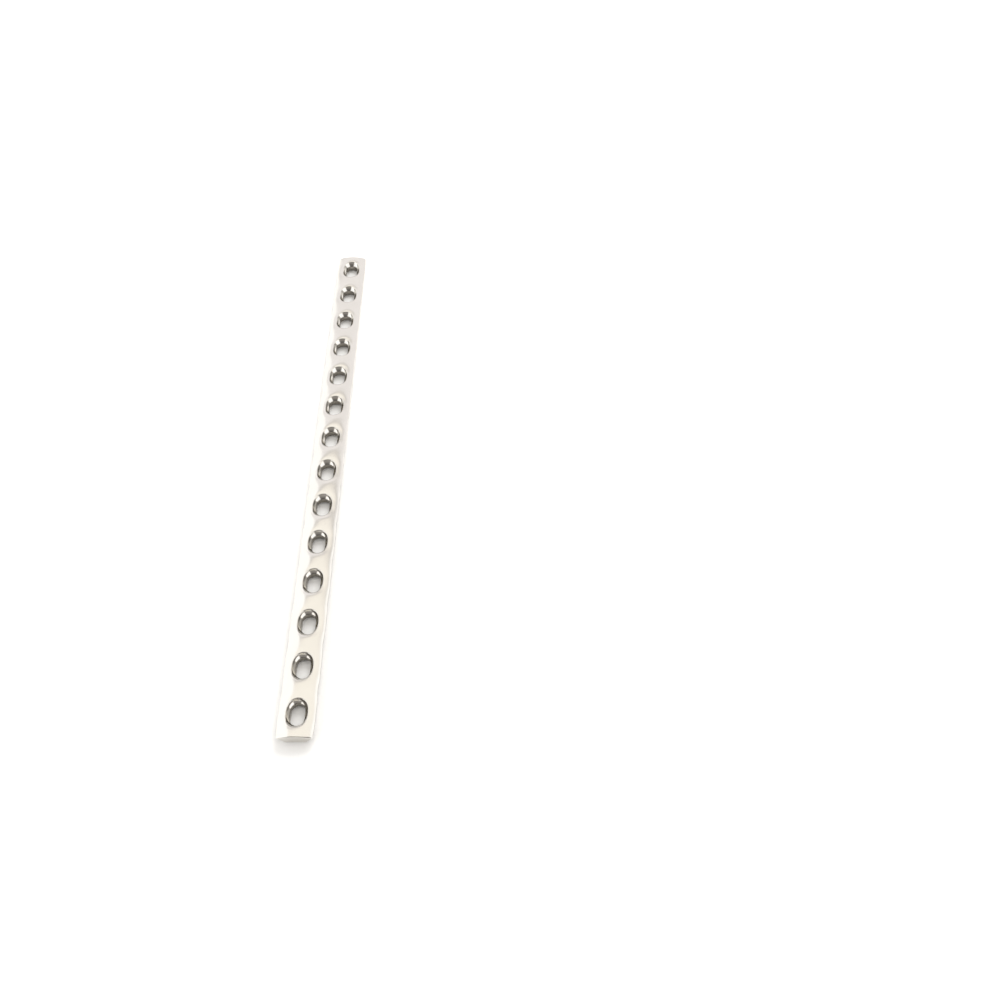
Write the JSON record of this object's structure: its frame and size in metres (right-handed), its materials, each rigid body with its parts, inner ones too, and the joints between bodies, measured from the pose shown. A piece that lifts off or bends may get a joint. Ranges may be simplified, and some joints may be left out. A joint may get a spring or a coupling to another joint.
{
  "type": "orthopedic bone plate",
  "caption": "Long straight metal bone plate with a crowned top, even oval screw holes with dished seats, and arched recesses on the bone side",
  "frame": {"origin": "on the plane of the bone side, under the middle of the plate's length and width", "axes": "+Y runs along the plate's length, +X across its width, +Z from the bone side up to the crowned top"},
  "size_m": [0.0134, 0.2524, 0.0046],
  "materials": {
    "implant_steel": "polished"
  },
  "bodies": {
    "root": {"bone_plate": "implant_steel"}
  },
  "joints": []
}
